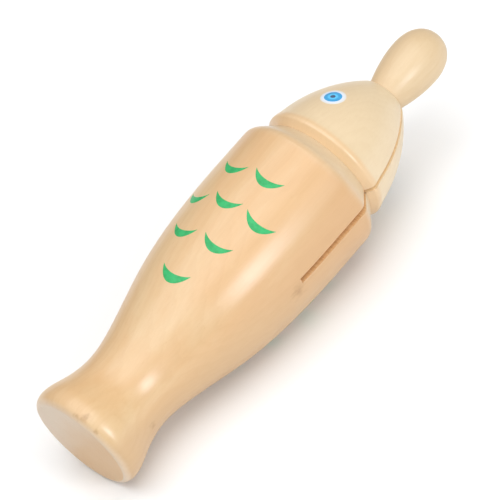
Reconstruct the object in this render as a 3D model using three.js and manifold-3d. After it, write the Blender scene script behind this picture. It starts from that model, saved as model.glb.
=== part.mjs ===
// A fish-shaped guiro: a turned, hollowed wooden body with scraping ridges along its back,
// a paler turned head glued into its mouth, one saw kerf along the belly as the sound slot,
// and a wooden scraping stick, with an egg-shaped knob, stored in a hole through the snout.
// Millimetres. +X runs along the turning axis from the tail to the head, +Z through the eye
// on one flank, -Y through the belly slot. The origin is the centre of the flat tail end.
import * as THREE from "three";
import { mergeVertices } from "three/addons/utils/BufferGeometryUtils.js";
import Module from "manifold-3d";

const wasm = await Module();
wasm.setup();

// Driving dimensions
const SIDES = 36;                 // facets round a turned piece, with flats at +-Y and +-Z
const HEAD_SIDES = 24;
const GAP = 0.3;                  // kept between pieces that are glued or seated together

const TAIL_R = 22.5;              // widest part of the tail flare
const TAIL_ROUND = [4.5, 2.6];    // rounded tail rim: along the axis, and across it
const BELLY_R = 30;               // widest part of the body
const SHOULDER_X = 130.2;         // where the front of the body starts to round over
const SHOULDER_ROUND = 4.6;
const SHOULDER_TURN = THREE.MathUtils.degToRad(42);
const JOINT_X = 138.6;            // glued joint between body and head, down in a V groove
const JOINT_R = 24;

const BORE_R = 18;                // sound chamber
const BORE_END_X = 64;

const RIM_X = 141.6;              // slight bead where the head's sloping base meets the dome
const RIM_R = 26.3;
const DOME_START_X = 144.6;
const DOME_X = 135.9;             // the dome is one arc, and this is the place of its top
const DOME_TOP_R = 26.2;
const DOME_ARC = 59.5;
const SNOUT_X = 177.5;            // flat face round the mouth hole
const SNOUT_ROUND_X = 175.6;      // where the dome starts to round over to that face
const SNOUT_CORNER_R = 9.3;
const SNOUT_FACE_R = 7.8;
const SPIGOT_R = BORE_R - GAP;
const SPIGOT_LENGTH = 11.6;

const STEM_R = 4;                 // stick, a plain 8 mm dowel
const STEM_START_X = 74;
const STEM_END_X = 188;
const STEM_CHAMFER = 0.6;
const MOUTH_R = STEM_R + 0.4;     // running fit round the stick

const KNOB_NECK_R = 7.3;
const KNOB_R = 10.7;
const KNOB_WIDEST_X = 197;
const KNOB_TIP_X = 210.6;
const KNOB_NECK_HANDLE = [184.6, 9.4];  // Bezier handles of the egg shape
const KNOB_FRONT_HANDLE_X = 190.6;
const KNOB_BACK_HANDLE_X = 204.8;
const KNOB_TIP_HANDLE_R = 7;

const SLOT_WIDTH = 2.6;
const SLOT_START_X = 95;
const SLOT_CLEAR = 10;            // how far the cutting tool stands out of the wood

const RIDGE_COUNT = 14;
const RIDGE_PITCH = 5.6;
const RIDGE_FIRST_X = 50;
const GROOVE_WIDTH = 2.6;
const GROOVE_DEPTH = 2.6;

const WOOD = 0xf0c99c;
const PALE_WOOD = 0xeedab2;
const DOWEL_WOOD = 0xe3c796;
const LACQUERED = 0.45;           // roughness
const SANDED = 0.6;

const CURVE_STEPS = 3;
const KNOB_STEPS = 6;
const FLANK_STEPS = 200;          // used to look up the flank's radius

// The flank of the body from the tail flare over the waist to the belly, as (axis, radius)
const FLANK = [
  [4.5, TAIL_R], [13.7, 20.1], [26.2, 17.85], [38.5, 19.4], [51.5, 22.6],
  [66, 26.1], [82, 28.5], [99, 29.7], [115, BELLY_R],
].map(([x, r]) => new THREE.Vector2(x, r));

// Turn a closed outline of (axis, radius) points round the X axis. The facets touch the true
// circle from outside, so the flats at +-Y and +-Z lie at the true radius.
function turned(outline, sides = SIDES) {
  const grow = 1 / Math.cos(Math.PI / sides);
  const points = outline.map((p) => new THREE.Vector2(p.y * grow, p.x));
  return new THREE.LatheGeometry(points, sides, Math.PI / sides).rotateZ(-Math.PI / 2);
}

// Merge a geometry's shared vertices and drop the triangles that closed up on the axis.
function toSolid(geometry) {
  geometry.deleteAttribute("normal");
  geometry.deleteAttribute("uv");
  const merged = mergeVertices(geometry, 1e-3);
  const triangles = [];
  for (let i = 0; i < merged.index.count; i += 3) {
    const [a, b, c] = [0, 1, 2].map((k) => merged.index.getX(i + k));
    if (a !== b && b !== c && c !== a) triangles.push(a, b, c);
  }
  return new wasm.Manifold(new wasm.Mesh({
    numProp: 3,
    vertProperties: new Float32Array(merged.attributes.position.array),
    triVerts: new Uint32Array(triangles),
  }));
}

function toMesh(name, solid, color, roughness) {
  const { vertProperties, triVerts } = solid.getMesh();
  const geometry = new THREE.BufferGeometry();
  geometry.setAttribute("position", new THREE.BufferAttribute(vertProperties, 3));
  geometry.setIndex(new THREE.BufferAttribute(triVerts, 1));
  geometry.computeVertexNormals();
  const material = new THREE.MeshStandardMaterial({ color, roughness, metalness: 0 });
  const mesh = new THREE.Mesh(geometry, material);
  mesh.name = name;
  return mesh;
}

// One radial saw cut along the belly, from the snout to the middle of the body.
function bellySlot() {
  const length = SNOUT_X - SLOT_START_X + SLOT_CLEAR;
  const depth = BELLY_R + SLOT_CLEAR;
  const slot = new THREE.BoxGeometry(length, depth, SLOT_WIDTH);
  return toSolid(slot.translate(SLOT_START_X + length / 2, -depth / 2, 0));
}

// Radius of the flank at a place along the axis.
function flankRadius(x) {
  const points = new THREE.SplineCurve(FLANK).getPoints(FLANK_STEPS);
  const next = points.findIndex((p) => p.x >= x);
  return next < 0 ? BELLY_R : points[next].y;
}

// Straight saw cuts across the back, each of the same depth below the flank.
function ridgeGrooves() {
  const size = BELLY_R;
  return Array.from({ length: RIDGE_COUNT }, (_, i) => {
    const x = RIDGE_FIRST_X + i * RIDGE_PITCH;
    const floor = flankRadius(x) - GROOVE_DEPTH;
    const cut = new THREE.BoxGeometry(GROOVE_WIDTH, size, 2 * size);
    return toSolid(cut.translate(x, floor + size / 2, 0));
  });
}

function bodyOutline() {
  const [along, across] = TAIL_ROUND;
  const path = new THREE.Path();
  path.moveTo(0, 0);
  path.lineTo(0, TAIL_R - across);
  path.absellipse(along, TAIL_R - across, along, across, Math.PI, Math.PI / 2, true);
  path.splineThru(FLANK.slice(1));
  path.lineTo(SHOULDER_X, BELLY_R);
  const end = Math.PI / 2 - SHOULDER_TURN;
  path.absarc(SHOULDER_X, BELLY_R - SHOULDER_ROUND, SHOULDER_ROUND, Math.PI / 2, end, true);
  path.lineTo(JOINT_X, JOINT_R);
  path.lineTo(JOINT_X, BORE_R);
  path.lineTo(BORE_END_X, BORE_R);
  path.lineTo(BORE_END_X, 0);
  return path.getPoints(CURVE_STEPS);
}

function makeBody() {
  let solid = toSolid(turned(bodyOutline())).subtract(bellySlot());
  for (const groove of ridgeGrooves()) solid = solid.subtract(groove);
  return toMesh("body", solid, WOOD, LACQUERED);
}

// The head: a spigot glued in the chamber's mouth, a base that slopes out to a bead, and a dome.
function headOutline() {
  const base = JOINT_X + GAP;
  const domeTurn = (x) => Math.acos((x - DOME_X) / DOME_ARC);
  const path = new THREE.Path();
  path.moveTo(base - SPIGOT_LENGTH, MOUTH_R);
  path.lineTo(base - SPIGOT_LENGTH, SPIGOT_R);
  path.lineTo(base, SPIGOT_R);
  path.lineTo(base, JOINT_R);
  path.lineTo(RIM_X, RIM_R);
  const [start, end] = [domeTurn(DOME_START_X), domeTurn(SNOUT_ROUND_X)];
  path.absarc(DOME_X, DOME_TOP_R - DOME_ARC, DOME_ARC, start, end, true);
  path.quadraticCurveTo(SNOUT_X, SNOUT_CORNER_R, SNOUT_X, SNOUT_FACE_R);
  path.lineTo(SNOUT_X, MOUTH_R);
  path.lineTo(base - SPIGOT_LENGTH, MOUTH_R);
  return path.getPoints(CURVE_STEPS);
}

function makeHead() {
  const solid = toSolid(turned(headOutline(), HEAD_SIDES)).subtract(bellySlot());
  return toMesh("head", solid, PALE_WOOD, LACQUERED);
}

function makeStem() {
  const path = new THREE.Path();
  path.moveTo(STEM_START_X, 0);
  path.lineTo(STEM_START_X, STEM_R - STEM_CHAMFER);
  path.lineTo(STEM_START_X + STEM_CHAMFER, STEM_R);
  path.lineTo(STEM_END_X, STEM_R);
  path.lineTo(STEM_END_X, 0);
  return toMesh("stick_stem", toSolid(turned(path.getPoints())), DOWEL_WOOD, SANDED);
}

// The knob: a blind socket for the stem, a neck that seats on the snout, and an egg shape.
function knobOutline() {
  const neckX = SNOUT_X + GAP;
  const socketR = STEM_R + GAP;
  const path = new THREE.Path();
  path.moveTo(STEM_END_X + GAP, 0);
  path.lineTo(STEM_END_X + GAP, socketR);
  path.lineTo(neckX, socketR);
  path.lineTo(neckX, KNOB_NECK_R);
  path.bezierCurveTo(...KNOB_NECK_HANDLE, KNOB_FRONT_HANDLE_X, KNOB_R, KNOB_WIDEST_X, KNOB_R);
  path.bezierCurveTo(KNOB_BACK_HANDLE_X, KNOB_R, KNOB_TIP_X, KNOB_TIP_HANDLE_R, KNOB_TIP_X, 0);
  return path.getPoints(KNOB_STEPS);
}

function makeKnob() {
  return toMesh("stick_knob", toSolid(turned(knobOutline())), PALE_WOOD, LACQUERED);
}

const guiro = new THREE.Group();
guiro.add(makeBody(), makeHead());

const stick = new THREE.Group();
stick.add(makeStem(), makeKnob());
guiro.add(stick);

export default guiro;
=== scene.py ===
"""A turned wooden fish guiro with its scraping stick stored in its mouth.

Lengths are in millimetres, and MM makes them metres where Blender takes them. +X runs from the
tail to the head, +Z through the eye on one flank, -Y through the belly slot, and +Y through the
ridged back.
"""
import math
from collections import namedtuple

import bmesh
import bpy
import numpy as np
from mathutils import Matrix, Vector


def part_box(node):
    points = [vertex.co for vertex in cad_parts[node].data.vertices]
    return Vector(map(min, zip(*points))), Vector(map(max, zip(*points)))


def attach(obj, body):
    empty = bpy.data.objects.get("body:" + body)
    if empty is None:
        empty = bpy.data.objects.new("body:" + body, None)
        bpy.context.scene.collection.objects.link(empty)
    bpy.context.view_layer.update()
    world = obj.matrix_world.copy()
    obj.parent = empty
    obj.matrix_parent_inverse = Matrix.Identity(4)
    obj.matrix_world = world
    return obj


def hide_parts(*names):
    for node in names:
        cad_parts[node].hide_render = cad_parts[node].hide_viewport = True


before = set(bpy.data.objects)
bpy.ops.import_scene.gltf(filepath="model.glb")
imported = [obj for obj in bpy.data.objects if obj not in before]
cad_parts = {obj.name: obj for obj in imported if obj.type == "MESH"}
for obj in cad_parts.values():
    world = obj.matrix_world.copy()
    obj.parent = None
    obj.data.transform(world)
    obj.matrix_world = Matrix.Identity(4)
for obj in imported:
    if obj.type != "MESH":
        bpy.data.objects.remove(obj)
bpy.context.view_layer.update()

MM = 0.001
TINY = 1e-6                       # counts as no distance
WELD = 1e-3                       # corners closer than this become one


def node_box(name):
    """Lowest and highest corner of a CAD node, in millimetres."""
    low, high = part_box(name)
    return low / MM, high / MM


_, body_high = node_box("body")
head_low, head_high = node_box("head")
stem_low, stem_high = node_box("stick_stem")
_, knob_high = node_box("stick_knob")

# Sizes that the frame gives
BELLY_R = body_high.z
JOINT_X = body_high.x             # glued joint between body and head
SNOUT_X = head_high.x
SPIGOT_X = head_low.x
STEM_R = stem_high.z
KNOB_R = knob_high.z

# The body's outline
TAIL_R = 22.5
TAIL_ROUND = (4.5, 2.6)           # along the axis, and across it
FLANK = ((4.5, TAIL_R), (13.7, 20.1), (26.2, 17.85), (38.5, 19.4), (51.5, 22.6),
         (66, 26.1), (82, 28.5), (99, 29.7), (115, BELLY_R))
SHOULDER_X = 130.2
SHOULDER_ROUND = 4.6
SHOULDER_TURN = 42                # degrees
JOINT_R = 24                      # floor of the V groove between body and head
BORE_R = 18
BORE_END_X = 64

# The head's outline
SPIGOT_R = 17.9
RIM_X, RIM_R = 141.6, 26.3        # slight bead where the head's base meets the dome
RIM_SOFT, BEAD_HEIGHT = 0.7, 0.6  # where the bead leaves the base, and how far it is pulled out
BEAD_END_X = 147
BEAD_SETTLE = 0.6                 # share of its length over which it settles onto the dome
DOME_X, DOME_TOP_R, DOME_ARC = 135.9, 26.2, 59.5
SNOUT_ROUND_X = 175.6             # where the dome starts to round over to the snout's face
SNOUT_CORNER_R, SNOUT_FACE_R = 9.3, 7.8
MOUTH_R = STEM_R + 0.4

# The stick's outlines. The knob's egg shape is two Bezier curves, which meet where it is widest.
STEM_CHAMFER = 0.6
KNOB_NECK_R = 7.3
KNOB_CREASE = (0.5, 0.7)          # bevel where it meets the snout, along the axis and across it
KNOB_NECK_HANDLE = (184.6, 9.4)
KNOB_FRONT_HANDLE_X = 190.6
KNOB_WIDEST_X = 197
KNOB_BACK_HANDLE_X = 204.8
KNOB_TIP_HANDLE_R = 7
SNUG = 0.05                       # what is left between glued or seated faces

# The saw kerf along the belly, as where it starts and where its two walls lie along Z. It is
# narrower in the head, which it cuts from end to end.
Slot = namedtuple("Slot", "start low high")
SLOT_START_X = 95
BODY_SLOT = Slot(SLOT_START_X, -1.25, 1.25)
HEAD_SLOT = Slot(0, -1.3, 0.3)
SLOT_LIP = 0.3                    # rounding of its sanded edges

# Scraping ridges across the back
RIDGE_COUNT, RIDGE_PITCH, RIDGE_FIRST_X = 14, 5.6, 50
GROOVE_HALF, GROOVE_DEPTH, GROOVE_LIP = 1.3, 2.6, 0.4
GROOVES = [RIDGE_FIRST_X + i * RIDGE_PITCH for i in range(RIDGE_COUNT)]

# Crescent scales. Each has its place along the axis, its turn from +Z towards -Y in degrees,
# and its width and thickness.
CRESCENTS = ((63.0, 6.8, 13.3, 3.7), (79.6, -12.2, 12.8, 3.1), (80.3, 20.9, 12.8, 3.1),
             (94.4, -25.2, 12.6, 3.0), (96.5, 4.6, 12.9, 3.2), (95.8, 35.2, 13.3, 3.2),
             (110.3, -12.2, 12.9, 3.0), (111.4, 18.7, 13.1, 3.2))
CRESCENT_HOLLOW = 2.2             # depth of the hollow side
CRESCENT_AHEAD = 0.67             # share of its depth that lies headwards of its place
CRESCENT_TAPER = 0.8              # lower keeps it thick for longer towards its horns
HORN_WIDTH = 0.15

# The eye, as discs painted over each other
EYE_X, EYE_TURN = 158.2, 2.0
EYE_WHITE_R, EYE_BLUE_R, PUPIL_R = 4.9, 3.4, 1.0
WHITE_MIDDLE_R, BLUE_MIDDLE_R = 4.4, 2.0

# Paint
PAINT = 0.05                      # thickness of one coat
PAINT_ROOT = 0.06                 # how far a coat's underside lies below what it is painted on
SCALE_EDGE = 0.06                 # share of a scale's width over which the coat rises
DISC_EDGE = ((0, 0), (0.05, 0.8), (0.12, 1))  # distance from the edge, and share of the coat
DISC_RINGS = (0.8, 0.55, 0.3, 0)  # shares of the radius

# Fineness of the meshes
AROUND = 176                      # columns round a turned piece
FLANK_ROWS = 97
GROOVE_ROOM = 0.3                 # kept between the flank's rows and a groove's own
LIP_STEPS = 4
LIP_TURNS = np.radians((0, 30, 60, 90))
SCALE_ROWS, SCALE_COLUMNS = 33, 5
DISC_COLUMNS = 64
SHARP = 35                        # degrees between faces that make an edge a sharp one


# ---------------------------------------------------------------- outlines

# A place on an outline, along the axis and away from it. One within a groove of the ridges also
# has the height of the groove's floor, and how far the wood sinks towards it there.
Row = namedtuple("Row", "x r floor sunk", defaults=(None, None))


def line(start, end, count=1):
    """Rows on a straight line, count steps from end to end."""
    return [Row(*(start[k] + (end[k] - start[k]) * i / count for k in (0, 1)))
            for i in range(count + 1)]


def arc(centre, radii, start, end, count):
    """Rows on an ellipse's arc, turning from start to end in degrees."""
    turns = np.radians(np.linspace(start, end, count + 1))
    return [Row(centre[0] + radii[0] * math.cos(t), centre[1] + radii[1] * math.sin(t))
            for t in turns]


def bezier(points, count):
    """Rows on a cubic Bezier curve through the first and the last of four points."""
    rows = []
    for t in np.linspace(0, 1, count + 1):
        weights = ((1 - t) ** 3, 3 * t * (1 - t) ** 2, 3 * t * t * (1 - t), t ** 3)
        rows.append(Row(*(sum(w * p[k] for w, p in zip(weights, points)) for k in (0, 1))))
    return rows


def joined(*runs):
    """Runs of rows as one outline, without the points that two runs share."""
    rows = list(runs[0])
    for run in runs[1:]:
        rows += run[1:] if math.dist(rows[-1][:2], run[0][:2]) < TINY else run
    return rows


class Flank:
    """The body's side as a cubic spline from the tail flare to the belly, level at both ends."""

    def __init__(self, points):
        self.x, self.r = (np.array(values, float) for values in zip(*points))
        gaps = np.diff(self.x)
        rises = np.diff(self.r) / gaps
        last = len(gaps)
        system = np.zeros((last + 1, last + 1))
        sides = np.zeros(last + 1)
        system[0, :2] = 2 * gaps[0], gaps[0]
        system[last, last - 1:] = gaps[-1], 2 * gaps[-1]
        sides[0], sides[last] = 6 * rises[0], -6 * rises[-1]
        for i in range(1, last):
            system[i, i - 1:i + 2] = gaps[i - 1], 2 * (gaps[i - 1] + gaps[i]), gaps[i]
            sides[i] = 6 * (rises[i] - rises[i - 1])
        self.bend = np.linalg.solve(system, sides)

    def radius(self, x):
        if x >= self.x[-1]:
            return BELLY_R
        i = max(int(np.searchsorted(self.x, x)) - 1, 0)
        gap = self.x[i + 1] - self.x[i]
        a, b = (self.x[i + 1] - x) / gap, (x - self.x[i]) / gap
        bend = (a ** 3 - a) * self.bend[i] + (b ** 3 - b) * self.bend[i + 1]
        return a * self.r[i] + b * self.r[i + 1] + bend * gap * gap / 6


flank = Flank(FLANK)


def dome_radius(x):
    return DOME_TOP_R - DOME_ARC + math.sqrt(DOME_ARC ** 2 - (x - DOME_X) ** 2)


def flank_row(x):
    centre = min(GROOVES, key=lambda c: abs(c - x))
    away = abs(x - centre) - GROOVE_HALF
    if away > GROOVE_LIP:
        return Row(x, flank.radius(x))
    reach = GROOVE_LIP ** 2 - (GROOVE_LIP - away) ** 2
    sunk = BELLY_R if away < -TINY else GROOVE_LIP - math.sqrt(max(0, reach))
    return Row(x, flank.radius(x), flank.radius(centre) - GROOVE_DEPTH, sunk)


def flank_rows():
    """Rows from the tail flare to the shoulder, closer together at each groove and at the slot."""
    just_inside = GROOVE_HALF - 0.01
    steps = [just_inside] + [GROOVE_HALF + GROOVE_LIP * (1 - math.sin(t)) for t in LIP_TURNS]
    places = [c + side * step for c in GROOVES for side in (-1, 1) for step in steps]
    places += [SLOT_START_X - SLOT_LIP * (1 - math.sin(t)) for t in LIP_TURNS]
    taken = GROOVE_HALF + GROOVE_LIP + GROOVE_ROOM
    for x in np.linspace(TAIL_ROUND[0], SHOULDER_X, FLANK_ROWS):
        if all(abs(x - c) > taken for c in GROOVES):
            places.append(x)
    return [flank_row(x) for x in sorted(places)]


def body_outline():
    along, across = TAIL_ROUND
    shoulder = arc((SHOULDER_X, BELLY_R - SHOULDER_ROUND), (SHOULDER_ROUND,) * 2,
                   90, 90 - SHOULDER_TURN, 10)
    return joined(
        line((0, 0), (0, TAIL_R - across), 5),
        arc((along, TAIL_R - across), (along, across), 180, 90, 12),
        flank_rows(),
        shoulder,
        line(shoulder[-1][:2], (JOINT_X, JOINT_R), 6),
        line((JOINT_X, JOINT_R), (JOINT_X, BORE_R), 2),
        line((JOINT_X, BORE_R), (SLOT_START_X, BORE_R), 12),
        line((SLOT_START_X, BORE_R), (BORE_END_X, BORE_R), 8),
        line((BORE_END_X, BORE_R), (BORE_END_X, 0), 5),
    )


def head_rim(base):
    """The head's sloping base, its soft bead, and the way down from that to the dome."""
    slope = math.atan2(RIM_R - JOINT_R, RIM_X - base)
    before = (RIM_X - RIM_SOFT * math.cos(slope), RIM_R - RIM_SOFT * math.sin(slope))
    crest = (RIM_X + BEAD_HEIGHT * math.cos(slope), RIM_R + BEAD_HEIGHT * math.sin(slope))
    after = (BEAD_END_X, dome_radius(BEAD_END_X))
    fall = dome_radius(BEAD_END_X - 1) - after[1]
    reach = (BEAD_END_X - RIM_X) * BEAD_SETTLE
    settle = (after[0] - reach, after[1] + reach * fall)
    return joined(line((base, JOINT_R), before, 6), bezier((before, crest, settle, after), 16))


def head_outline():
    base = JOINT_X + SNUG
    turns = [math.degrees(math.acos((x - DOME_X) / DOME_ARC)) for x in (BEAD_END_X, SNOUT_ROUND_X)]
    dome = arc((DOME_X, DOME_TOP_R - DOME_ARC), (DOME_ARC,) * 2, *turns, 40)
    corner = (SNOUT_X, SNOUT_CORNER_R)
    return joined(
        line((SPIGOT_X, MOUTH_R), (SPIGOT_X, SPIGOT_R), 3),
        line((SPIGOT_X, SPIGOT_R), (base, SPIGOT_R), 4),
        line((base, SPIGOT_R), (base, JOINT_R), 2),
        head_rim(base),
        dome,
        bezier((dome[-1], corner, corner, (SNOUT_X, SNOUT_FACE_R)), 8),
        line((SNOUT_X, SNOUT_FACE_R), (SNOUT_X, MOUTH_R), 2),
        line((SNOUT_X, MOUTH_R), (SPIGOT_X, MOUTH_R), 24),
    )[:-1]


def stem_outline():
    start, end = stem_low.x, stem_high.x
    return joined(
        line((start, 0), (start, STEM_R - STEM_CHAMFER), 3),
        line((start, STEM_R - STEM_CHAMFER), (start + STEM_CHAMFER, STEM_R)),
        line((start + STEM_CHAMFER, STEM_R), (end, STEM_R), 40),
        line((end, STEM_R), (end, 0), 3),
    )


def knob_outline():
    seat_x = SNOUT_X + SNUG
    socket = (stem_high.x + SNUG, STEM_R + SNUG)
    crease = (seat_x, KNOB_NECK_R - KNOB_CREASE[1])
    neck = (seat_x + KNOB_CREASE[0], KNOB_NECK_R)
    widest = (KNOB_WIDEST_X, KNOB_R)
    tip_x = knob_high.x
    return joined(
        line((socket[0], 0), socket, 2),
        line(socket, (seat_x, socket[1]), 4),
        line((seat_x, socket[1]), crease, 2),
        line(crease, neck, 2),
        bezier((neck, KNOB_NECK_HANDLE, (KNOB_FRONT_HANDLE_X, KNOB_R), widest), 30),
        bezier((widest, (KNOB_BACK_HANDLE_X, KNOB_R), (tip_x, KNOB_TIP_HANDLE_R), (tip_x, 0)), 40),
    )


# ---------------------------------------------------------------- meshes

def linked(name, data):
    """A new object of the scene."""
    made = bpy.data.objects.new(name, data)
    bpy.context.collection.objects.link(made)
    return made


def new_piece(name, mesh_data, material, body):
    """A smooth-shaded object of a bmesh in millimetres, which rides on a CAD body.

    material is one, or a list in the order of the faces' material numbers.
    """
    bmesh.ops.remove_doubles(mesh_data, verts=mesh_data.verts, dist=WELD)
    bmesh.ops.recalc_face_normals(mesh_data, faces=mesh_data.faces)
    bmesh.ops.scale(mesh_data, vec=(MM,) * 3, verts=mesh_data.verts)
    mesh = bpy.data.meshes.new(name)
    mesh_data.to_mesh(mesh)
    mesh_data.free()
    for entry in material if isinstance(material, (list, tuple)) else [material]:
        mesh.materials.append(entry)
    mesh.set_sharp_from_angle(angle=math.radians(SHARP))
    piece = linked(name, mesh)
    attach(piece, body)
    return piece


def outline_normals(rows, loop):
    """The outward normal of the outline at each row, as (along the axis, away from it)."""
    points = np.array([row[:2] for row in rows], float)
    before, after = np.roll(points, 1, 0), np.roll(points, -1, 0)
    if not loop:
        before[0], after[-1] = points[0], points[-1]
    steps = after - before
    normals = np.stack([-steps[:, 1], steps[:, 0]], 1)
    return normals / np.linalg.norm(normals, axis=1, keepdims=True)


def lip_depth(away):
    """How far a sanded edge falls away, at a distance outside the saw slot."""
    return SLOT_LIP - math.sqrt(SLOT_LIP ** 2 - (SLOT_LIP - away) ** 2) if away < SLOT_LIP else 0


def ring_points(row, normal, slot):
    """One row's points, from one edge of the belly slot round the back to the other edge.

    The last 2 * LIP_STEPS points are the two sanded edges of the slot, down to its walls.
    """
    if slot is None:
        turns = np.linspace(0, 2 * math.pi, AROUND, endpoint=False)
        return [(row.x, -row.r * math.cos(t), row.r * math.sin(t)) for t in turns]
    size = row.r if row.x > slot.start - SLOT_LIP else BELLY_R
    aways = [SLOT_LIP * (1 - math.sin(math.pi / 2 * k / LIP_STEPS)) for k in range(LIP_STEPS + 1)]
    above = [math.asin((slot.high + away) / size) for away in aways]
    below = [2 * math.pi - math.asin((away - slot.low) / size) for away in aways]
    turns = [(t, SLOT_LIP) for t in np.linspace(above[0], below[0], AROUND)]
    turns += [*zip(below[1:], aways[1:]), *zip(above[:0:-1], aways[:0:-1])]
    points = []
    for turn, away in turns:
        depth = lip_depth(math.hypot(away, max(0, slot.start - row.x)))
        y = -(row.r - depth * normal[1]) * math.cos(turn)
        if row.floor is not None and y > row.floor:
            y = max(row.floor, y - row.sunk)
        points.append((row.x - depth * normal[0], y, row.r * math.sin(turn)))
    return points


def turned(outline, loop=False, slot=None):
    """A turned solid as a bmesh, with a saw slot in its belly.

    The slot's walls get the second material.
    """
    normals = outline_normals(outline, loop)
    mesh_data = bmesh.new()
    rings = [[mesh_data.verts.new(p) for p in ring_points(row, normal, slot)]
             for row, normal in zip(outline, normals)]
    columns = len(rings[0])
    wall = columns - LIP_STEPS - 1
    inside = [slot is not None and row.x >= slot.start - TINY for row in outline]
    for i in range(len(rings) if loop else len(rings) - 1):
        j = (i + 1) % len(rings)
        ring, following = rings[i], rings[j]
        cut = inside[i] and inside[j]
        for c in range(columns):
            d = (c + 1) % columns
            if not (cut and c == wall):
                mesh_data.faces.new((ring[c], ring[d], following[d], following[c])).smooth = True
    if slot is not None:
        cut_rings = [ring for ring, in_slot in zip(rings, inside) if in_slot]
        faces = [[ring[wall] for ring in cut_rings], [ring[wall + 1] for ring in cut_rings]]
        if not loop:
            first, last = cut_rings[0], cut_rings[-1]
            faces.append([first[wall], first[wall + 1], last[wall + 1], last[wall]])
        for corners in faces:
            mesh_data.faces.new(corners).material_index = 1
    return mesh_data


def slope_at(radius, x, step):
    """How fast a turned surface widens towards the head, measured over a step each way."""
    return (radius(x + step) - radius(x - step)) / (2 * step)


def surface_point(radius, x, turn, height):
    """A point above a turned surface, turned from +Z towards -Y in radians."""
    slope = slope_at(radius, x, 0.05)
    tilt = math.hypot(1, slope)
    r = radius(x) + height / tilt
    return x - height * slope / tilt, -r * math.sin(turn), r * math.cos(turn)


def paint_coat(name, places, loop, radius, centre, under, material):
    """A thin closed coat of paint over a turned surface.

    places is a grid of (along, around, share of the coat's thickness), and a loop is a disc
    whose last column is its middle. under is how many coats lie under it.
    """
    centre_x, centre_turn = centre
    along_scale = 1 / math.hypot(1, slope_at(radius, centre_x, 0.5))

    def vertex(place, height):
        x = centre_x + place[0] * along_scale
        turn = math.radians(centre_turn) + place[1] / radius(x)
        return mesh_data.verts.new(surface_point(radius, x, turn, height))

    mesh_data = bmesh.new()
    base = under * PAINT
    top = [[vertex(place, base + place[2] * PAINT) for place in run] for run in places]
    bottom = [[vertex(place, base - PAINT_ROOT) for place in run] for run in places]
    count, width = len(places), len(places[0])
    for i in range(count if loop else count - 1):
        j = (i + 1) % count
        for k in range(width - 1):
            for grid in (top, bottom):
                corners = (grid[i][k], grid[j][k], grid[j][k + 1], grid[i][k + 1])
                mesh_data.faces.new(corners).smooth = True
        for k in (0,) if loop else (0, width - 1):
            mesh_data.faces.new((top[i][k], top[j][k], bottom[j][k], bottom[i][k]))
    if not loop:
        for i in (0, count - 1):
            for k in range(width - 1):
                mesh_data.faces.new((top[i][k], top[i][k + 1], bottom[i][k + 1], bottom[i][k]))
    return new_piece(name, mesh_data, material, "fish")


def bow(half_span, sag, t):
    """Distance from a chord to its arc, t of the way from the middle to the end."""
    size = (half_span ** 2 + sag ** 2) / (2 * sag)
    return math.sqrt(size ** 2 - (t * half_span) ** 2) - (size - sag)


def crescent_places(span, thickness):
    """A crescent with its round side towards the tail and its horns towards the head."""
    half = span / 2
    horns = (CRESCENT_HOLLOW + thickness) * CRESCENT_AHEAD
    inner_columns = np.linspace(SCALE_EDGE, 1 - SCALE_EDGE, SCALE_COLUMNS)
    steps = [0, *inner_columns, 1]
    grid = []
    for t in np.linspace(-1, 1, SCALE_ROWS):
        hollow = bow(half, CRESCENT_HOLLOW, t)
        width = max(thickness * (1 - t * t) ** CRESCENT_TAPER, HORN_WIDTH)
        grid.append([(horns - hollow - width * s, t * half, 0 if s in (0, 1) else 1)
                     for s in steps])
    return grid


def disc_places(radius):
    rings = [(radius - inset, thick) for inset, thick in DISC_EDGE]
    rings += [(radius * share, 1) for share in DISC_RINGS]
    turns = np.linspace(0, 2 * math.pi, DISC_COLUMNS, endpoint=False)
    return [[(r * math.cos(t), r * math.sin(t), thick) for r, thick in rings] for t in turns]


# ---------------------------------------------------------------- materials

def node(tree, kind, settings=(), **inputs):
    """A shader node. Settings are its options, and inputs are its sockets by name or number."""
    made = tree.nodes.new("ShaderNode" + kind)
    for key, value in dict(settings).items():
        setattr(made, key, value)
    for key, value in inputs.items():
        name = int(key[1:]) if key[0] == "n" and key[1:].isdigit() else key.replace("_", " ")
        socket = made.inputs[name]
        if isinstance(value, bpy.types.NodeSocket):
            tree.links.new(value, socket)
        else:
            socket.default_value = value
    return made


def mixed(tree, factor, first, second):
    """Two colours mixed by a factor. A colour is a socket or an (r, g, b) of linear light."""
    first, second = ((*c, 1) if isinstance(c, tuple) else c for c in (first, second))
    settings = {"data_type": "RGBA", "clamp_factor": True}
    return node(tree, "Mix", settings, n0=factor, n6=first, n7=second).outputs[2]


def ranged(tree, value, low, high, to_low=0.0, to_high=1.0):
    """A value's stretch from low to high, moved smoothly to another range."""
    made = node(tree, "MapRange", {"interpolation_type": "SMOOTHSTEP"}, Value=value,
                From_Min=low, From_Max=high, To_Min=to_low, To_Max=to_high)
    return made.outputs[0]


def maths(tree, operation, first, second=0.0):
    return node(tree, "Math", {"operation": operation}, n0=first, n1=second).outputs[0]


def noise(tree, place, stretch, scale, detail=3.0, roughness=0.55, warp=0.0):
    """Noise with scale features to a metre. A low stretch draws it out along that axis."""
    spread = node(tree, "Mapping", Vector=place, Scale=stretch).outputs[0]
    return node(tree, "TexNoise", Vector=spread, Scale=scale, Detail=detail,
                Roughness=roughness, Distortion=warp).outputs[0]


def distance_from(tree, place, middle):
    """Distance in metres from a point in millimetres."""
    point = tuple(c * MM for c in middle)
    return node(tree, "VectorMath", {"operation": "DISTANCE"}, n0=place, n1=point).outputs[1]


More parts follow.
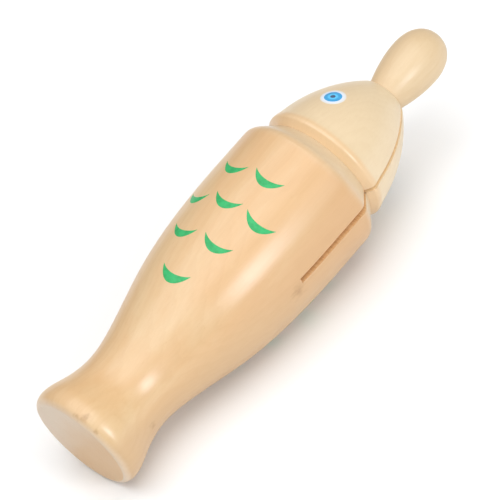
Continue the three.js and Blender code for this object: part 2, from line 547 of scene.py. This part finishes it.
def started(name):
    """A material, with its tree, its shader, and the place of each point in its object."""
    material = bpy.data.materials.new(name)
    material.use_nodes = True
    tree = material.node_tree
    place = node(tree, "TexCoord").outputs["Object"]
    return material, tree, tree.nodes["Principled BSDF"], place


def finished(tree, shader, color, roughness, height, bump, depth, **surface):
    """Join a material up. bump is how strong its relief is, depth how deep in millimetres, and
    surface holds what is the same all over it, by the shader's own names."""
    tree.links.new(color, shader.inputs["Base Color"])
    tree.links.new(roughness, shader.inputs["Roughness"])
    made = node(tree, "Bump", Height=height, Strength=bump, Distance=depth * MM)
    tree.links.new(made.outputs[0], shader.inputs["Normal"])
    for key, value in surface.items():
        shader.inputs[key.replace("_", " ")].default_value = value


def flecks(tree, place, marks):
    """Small dark marks in the wood with ragged edges, each as ((x, y, z), radius)."""
    core, edge = 0.6, 2.4         # where a mark starts to fade and where it is gone, in radii
    ragged = noise(tree, place, (0.6, 1, 1), 600)
    total = None
    for middle, radius in marks:
        size = radius * MM
        away = distance_from(tree, place, middle)
        ragged_away = maths(tree, "ADD", away, maths(tree, "MULTIPLY", ragged, edge * size))
        mark = ranged(tree, ragged_away, core * size, edge * size, 1, 0)
        total = mark if total is None else maths(tree, "MAXIMUM", total, mark)
    return total


def zone(tree, place, drift, direction, start, end):
    """How far a place lies into a zone: from 0 at start to 1 at end, in millimetres along a
    direction, with an edge that follows the drift of the wood."""
    along = node(tree, "VectorMath", {"operation": "DOT_PRODUCT"}, n0=place,
                 n1=direction).outputs[1]
    wander = maths(tree, "MULTIPLY", maths(tree, "SUBTRACT", drift, 0.5), (end - start) * MM)
    low, high = sorted((start, end))
    levels = (0, 1) if end > start else (1, 0)
    return ranged(tree, maths(tree, "ADD", along, wander), low * MM, high * MM, *levels)


def late_wood(tree, place, pith):
    """Where each year's dark late wood lies, from 0 to 1, in wavy rings round the pith."""
    years_to_a_metre, wander_in_years = 420, 5
    turn_of_year = 0.95
    wander = noise(tree, place, (0.3, 1, 1), 60)
    across = node(tree, "Mapping", Vector=place,
                  Location=(0, -pith[0] * MM, -pith[1] * MM), Scale=(0.1, 1, 1)).outputs[0]
    away = node(tree, "VectorMath", {"operation": "LENGTH"}, n0=across).outputs[1]
    years = maths(tree, "ADD", maths(tree, "MULTIPLY", away, years_to_a_metre),
                  maths(tree, "MULTIPLY", wander, wander_in_years))
    year = maths(tree, "FRACT", years)
    darker = ranged(tree, year, 0.25, turn_of_year)
    ended = ranged(tree, year, turn_of_year, 1.0, 1, 0)
    return maths(tree, "MULTIPLY", darker, ended)


def wood(name, pale, warm, vein, pith, rings=0.07, lacquer=0.6, rough=0.5, marks=(), zones=()):
    """Fine-grained turned wood whose grain runs along X, under a clear lacquer.

    pale and warm are the two tones it drifts between, vein is its late wood and its pores, and
    pith is where the middle of the tree lay, as (y, z). rings is how strongly the late wood
    shows. Each zone is a stretch of another tone, as (direction, start, end, tone); most zones
    below are painted shade, painted light and painted reflection.
    """
    material, tree, shader, place = started(name)

    drift = noise(tree, place, (0.4, 1, 1), 26, detail=4, warp=0.8)
    color = mixed(tree, ranged(tree, drift, 0.36, 0.66), pale, warm)
    mottle = noise(tree, place, (0.7, 1, 1), 150, roughness=0.6, warp=0.5)
    color = mixed(tree, ranged(tree, mottle, 0.40, 0.70, 0, 0.22), color, warm)
    color = mixed(tree, ranged(tree, mottle, 0.30, 0.45, 0.16, 0), color, pale)
    for direction, start, end, tone in zones:
        color = mixed(tree, zone(tree, place, drift, direction, start, end), color, tone)

    color = mixed(tree, maths(tree, "MULTIPLY", late_wood(tree, place, pith), rings), color, vein)
    fibre = noise(tree, place, (0.045, 1, 1), 1100, detail=4, roughness=0.6)
    color = mixed(tree, ranged(tree, fibre, 0.35, 0.75, 0, 0.1), color, vein)
    pores = noise(tree, place, (0.08, 1, 1), 1900, detail=2, roughness=0.5)
    pore = ranged(tree, pores, 0.66, 0.78)
    color = mixed(tree, maths(tree, "MULTIPLY", pore, 0.22), color, vein)
    if marks:
        dark = tuple(c * 0.8 for c in vein)
        color = mixed(tree, maths(tree, "MULTIPLY", flecks(tree, place, marks), 0.75), color, dark)

    gloss = noise(tree, place, (0.5, 1, 1), 160)
    roughness = ranged(tree, gloss, 0.3, 0.7, rough - 0.05, rough + 0.07)
    height = maths(tree, "SUBTRACT", maths(tree, "MULTIPLY", fibre, 0.6), pore)
    finished(tree, shader, color, roughness, height, 0.15, 0.04, Specular_IOR_Level=0.2,
             Coat_Weight=lacquer, Coat_IOR=1.8, Coat_Roughness=0.28)
    return material


def sawn_wood(name, base, dark):
    """Bare sawn wood inside the slot, with the blade's marks across its walls."""
    material, tree, shader, place = started(name)
    marks = noise(tree, place, (1, 0.12, 1), 1400, roughness=0.6)
    patches = noise(tree, place, (0.4, 1, 1), 220)
    color = mixed(tree, ranged(tree, marks, 0.35, 0.7), base, dark)
    color = mixed(tree, ranged(tree, patches, 0.4, 0.7, 0, 0.4), color, dark)
    roughness = ranged(tree, patches, 0.3, 0.7, 0.7, 0.85)
    finished(tree, shader, color, roughness, marks, 0.5, 0.08, Specular_IOR_Level=0.2)
    return material


def paint(name, color, shade, middle=None, middle_r=None, middle_color=None):
    """Brushed enamel, thinner and darker in streaks. Its middle may fade to a second colour."""
    material, tree, shader, place = started(name)
    streaks = noise(tree, place, (1, 0.3, 0.3), 1300, detail=4, roughness=0.6)
    cloud = noise(tree, place, (1, 1, 1), 420)
    made = mixed(tree, ranged(tree, cloud, 0.35, 0.7, 0, 0.55), color, shade)
    if middle is not None:
        size = middle_r * MM
        inside = ranged(tree, distance_from(tree, place, middle), size * 0.75, size * 1.2, 1, 0)
        made = mixed(tree, inside, made, middle_color)
    made = mixed(tree, ranged(tree, streaks, 0.5, 0.8, 0, 0.3), made, shade)
    roughness = ranged(tree, streaks, 0.3, 0.7, 0.32, 0.46)
    finished(tree, shader, made, roughness, streaks, 0.15, 0.03, Specular_IOR_Level=0.3,
             Coat_Weight=0.1, Coat_Roughness=0.2)
    return material


def pale_floor():
    material, tree, shader, place = started("pale_floor")
    mottle = noise(tree, place, (1, 1, 1), 6, detail=2)
    color = mixed(tree, ranged(tree, mottle, 0.3, 0.7), (0.93, 0.93, 0.93), (0.95, 0.95, 0.95))
    roughness = ranged(tree, mottle, 0, 1, 0.75, 0.85)
    finished(tree, shader, color, roughness, mottle, 0.02, 1, Specular_IOR_Level=0.1)
    return material


# ---------------------------------------------------------------- the fish

def on_body(x, turn):
    """The place on the body's skin at x, turned from +Z towards -Y in degrees."""
    return surface_point(flank.radius, x, math.radians(turn), 0)


BODY_PITH = (46, -30)             # the body and its sawn end are one piece of wood
HEADWARD = (1, 0, 0)

tail_flecks = ((on_body(2.6, 31), 2.6), (on_body(1.6, 22), 1.4), (on_body(1.4, 47), 1.2))
waist_fleck = (on_body(19.8, 99), 2.1)
slot_fleck = (on_body(91.8, 96), 4.0)
body_wood = wood("body_wood", (0.692, 0.482, 0.260), (0.665, 0.404, 0.190), (0.50, 0.26, 0.10),
                 BODY_PITH, marks=(*tail_flecks, waist_fleck, slot_fleck),
                 # painted shade: the belly's side turned from the lights towards the floor is
                 # darkened
                 zones=(((0.12, -0.94, -0.34), 26, 38, (0.62, 0.365, 0.170)),
                        # painted shade: darker again on the floor side, most towards the tail
                        ((-0.15, -0.82, -0.57), 6, 16, (0.60, 0.385, 0.195)),
                        # painted light and painted reflection: the shoulder's slope down into the
                        # groove is paler and greyer, lifting the groove's shade
                        (HEADWARD, 129, 135, (0.68, 0.515, 0.325)),
                        (HEADWARD, 2.6, -0.2, (0.74, 0.565, 0.390))))
# the end face's pale grey tone is partly the end grain and partly a painted reflection of the pale
# floor
end_wood = wood("end_wood", (0.80, 0.66, 0.52), (0.80, 0.65, 0.51), (0.50, 0.34, 0.20),
                BODY_PITH, lacquer=0.1, rough=0.6,
                # painted shade and painted reflection: the end face turns darker and warmer towards
                # the floor, where it mirrors the floor's shadow
                zones=(((0, -0.73, -0.68), -16, 8, (0.76, 0.52, 0.31)),))
head_wood = wood("head_wood", (0.755, 0.600, 0.395), (0.725, 0.560, 0.355), (0.58, 0.38, 0.19),
                 (-70, 25), rings=0.06,
                 # painted shade: the head's base slope, down in the groove against the body, is
                 # darker and warmer
                 zones=((HEADWARD, 144.4, 142.4, (0.72, 0.495, 0.275)),))
knob_wood = wood("knob_wood", (0.70, 0.525, 0.325), (0.66, 0.485, 0.290), (0.53, 0.33, 0.16),
                 (18, -26), lacquer=0.3)
dowel_wood = wood("dowel_wood", (0.84, 0.66, 0.42), (0.80, 0.60, 0.36), (0.60, 0.38, 0.18),
                  (9, 14), rings=0.2, lacquer=0.0, rough=0.6)
slot_wood = sawn_wood("slot_wood", (0.84, 0.55, 0.28), (0.72, 0.42, 0.19))
head_slot_wood = sawn_wood("head_slot_wood", (0.95, 0.74, 0.47), (0.88, 0.64, 0.36))


def add_fish():
    """The body and the head. The body's flat tail end shows its end grain."""
    body_mesh = turned(body_outline(), slot=BODY_SLOT)
    for face in body_mesh.faces:
        if all(vertex.co.x < TINY for vertex in face.verts):
            face.material_index = 2
    body = new_piece("fish_body", body_mesh, (body_wood, slot_wood, end_wood), "fish")
    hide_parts("body")
    head = new_piece("fish_head", turned(head_outline(), loop=True, slot=HEAD_SLOT),
                     (head_wood, head_slot_wood), "fish")
    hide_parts("head")


def add_stick():
    stem = new_piece("dowel", turned(stem_outline()), dowel_wood, "stick")
    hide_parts("stick_stem")
    knob = new_piece("knob", turned(knob_outline()), knob_wood, "stick")
    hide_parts("stick_knob")


def add_scales(side, mirror, green):
    for i, (x, turn, span, thickness) in enumerate(CRESCENTS):
        paint_coat(f"scale_{side}_{i + 1}", crescent_places(span, thickness), False,
                   flank.radius, (x, mirror(turn)), 0, green)


def add_eye(side, mirror, pupil):
    """Three discs painted over each other, the lower two with a blue middle."""
    centre = (EYE_X, mirror(EYE_TURN))
    middle = surface_point(dome_radius, EYE_X, math.radians(centre[1]), 0)
    white = paint(f"white_paint_{side}", (0.75, 0.69, 0.61), (0.72, 0.65, 0.56),
                  middle, WHITE_MIDDLE_R, (0.68, 0.76, 0.88))
    blue = paint(f"blue_paint_{side}", (0.065, 0.37, 0.68), (0.04, 0.27, 0.56),
                 middle, BLUE_MIDDLE_R, (0.12, 0.55, 0.88))
    layers = (("white", EYE_WHITE_R, white), ("blue", EYE_BLUE_R, blue), ("pupil", PUPIL_R, pupil))
    for under, (name, radius, material) in enumerate(layers):
        paint_coat(f"eye_{side}_{name}", disc_places(radius), True, dome_radius, centre,
                   under, material)


def add_paint():
    """Scales and an eye on each flank, the second the mirror of the first."""
    green = paint("green_paint", (0.032, 0.44, 0.138), (0.010, 0.26, 0.065))
    pupil = paint("pupil_paint", (0.075, 0.12, 0.21), (0.04, 0.06, 0.12))
    for side, mirror in (("left", lambda turn: turn), ("right", lambda turn: 180 - turn)):
        add_scales(side, mirror, green)
        add_eye(side, mirror, pupil)


# ---------------------------------------------------------------- stage

VIEW_TILT = 18.3                  # degrees that the tail leans towards the camera
VIEW_TURN = 42.8                  # degrees from +Z towards -Y
VIEW_ROLL = 48.8                  # degrees of the axis from the picture's horizontal
VIEW_DISTANCE = 1289
VIEW_CENTRE = Vector((93.3, 0, 0))
VIEW_OFFSET = (2.6, 3.0)          # the picture's middle from that point, right and up
LENS, SENSOR = 252, 36
NEAREST, FARTHEST = 50, 20000     # how far from the camera a thing may be to be seen

FLOOR_HALF = 6000
BELLY_PLACES = range(50, 130)     # where along the belly it may touch the floor

KEY_BOX, KEY_DISTANCE = (240, 360), 900
WIDE_BOX, WIDE_DISTANCE = (2200, 2200), 1800
KEY_COLOR = (0.82, 0.91, 1.0)
WORLD_LIGHT = 0.26


def around(turn, tilt=0.0):
    """The direction away from the axis, turned from +Z towards -Y and tilted towards the head."""
    turn, tilt = math.radians(turn), math.radians(tilt)
    return Vector((math.sin(tilt), -math.sin(turn) * math.cos(tilt), math.cos(turn) * math.cos(tilt)))


def facing(right, up, toward, place):
    """The matrix of an object at a place in millimetres, with its own axes along directions."""
    axes = Matrix((right, up, toward)).transposed().to_4x4()
    return Matrix.Translation(place * MM) @ axes


def along_seen_from(toward):
    """The fish's axis as it looks from a direction."""
    return (Vector((1, 0, 0)) - toward * toward.x).normalized()


def add_camera():
    toward = around(VIEW_TURN, -VIEW_TILT)
    along = along_seen_from(toward)
    across = along.cross(toward)
    roll = math.radians(VIEW_ROLL)
    right = along * math.cos(roll) + across * math.sin(roll)
    up = toward.cross(right)
    data = bpy.data.cameras.new("camera")
    data.sensor_width, data.lens = SENSOR, LENS
    data.clip_start, data.clip_end = NEAREST * MM, FARTHEST * MM
    aim = VIEW_CENTRE + right * VIEW_OFFSET[0] + up * VIEW_OFFSET[1]
    camera = linked("camera", data)
    camera.matrix_world = facing(right, up, toward, aim + toward * VIEW_DISTANCE)
    bpy.context.scene.camera = camera


def add_floor():
    """A wide floor that the fish lies on, touching the belly and the tail's rim."""
    tail_x = TAIL_ROUND[0]
    lean, belly_x = max((math.atan2(flank.radius(x) - TAIL_R, x - tail_x), x) for x in BELLY_PLACES)
    size = FLOOR_HALF * MM
    mesh = bpy.data.meshes.new("floor")
    mesh.from_pydata([(-size, -size, 0), (size, -size, 0), (size, size, 0), (-size, size, 0)], [],
                     [(0, 1, 2, 3)])
    mesh.materials.append(pale_floor())
    floor = linked("floor", mesh)
    touch = Vector((belly_x, 0, -flank.radius(belly_x))) * MM
    floor.matrix_world = Matrix.Translation(touch) @ Matrix.Rotation(lean, 4, "Y")


def add_softbox(name, turn, tilt, distance, size, power, color=(1, 1, 1)):
    """A soft light facing the fish, and size is its length along the fish and across it."""
    data = bpy.data.lights.new(name, "AREA")
    data.color = color
    data.shape = "RECTANGLE"
    data.size, data.size_y = (side * MM for side in size)
    data.energy = power
    away = around(turn, tilt)
    along = along_seen_from(away)
    light = linked(name, data)
    light.matrix_world = facing(along, away.cross(along), away, VIEW_CENTRE + away * distance)


def add_lights():
    add_softbox("key", VIEW_TURN + 25, 6, KEY_DISTANCE, KEY_BOX, 3.0, KEY_COLOR)
    for name, turn, power in (("front", -10, 13), ("overhead", -40, 24), ("side", -80, 9)):
        add_softbox(name, VIEW_TURN + turn, 0, WIDE_DISTANCE, WIDE_BOX, power)


def add_world():
    world = bpy.data.worlds.new("studio")
    world.use_nodes = True
    background = world.node_tree.nodes["Background"]
    background.inputs["Color"].default_value = (1, 1, 1, 1)
    background.inputs["Strength"].default_value = WORLD_LIGHT
    bpy.context.scene.world = world
    bpy.context.scene.view_settings.view_transform = "Standard"


add_fish()
add_stick()
add_paint()
add_camera()
add_floor()
add_lights()
add_world()
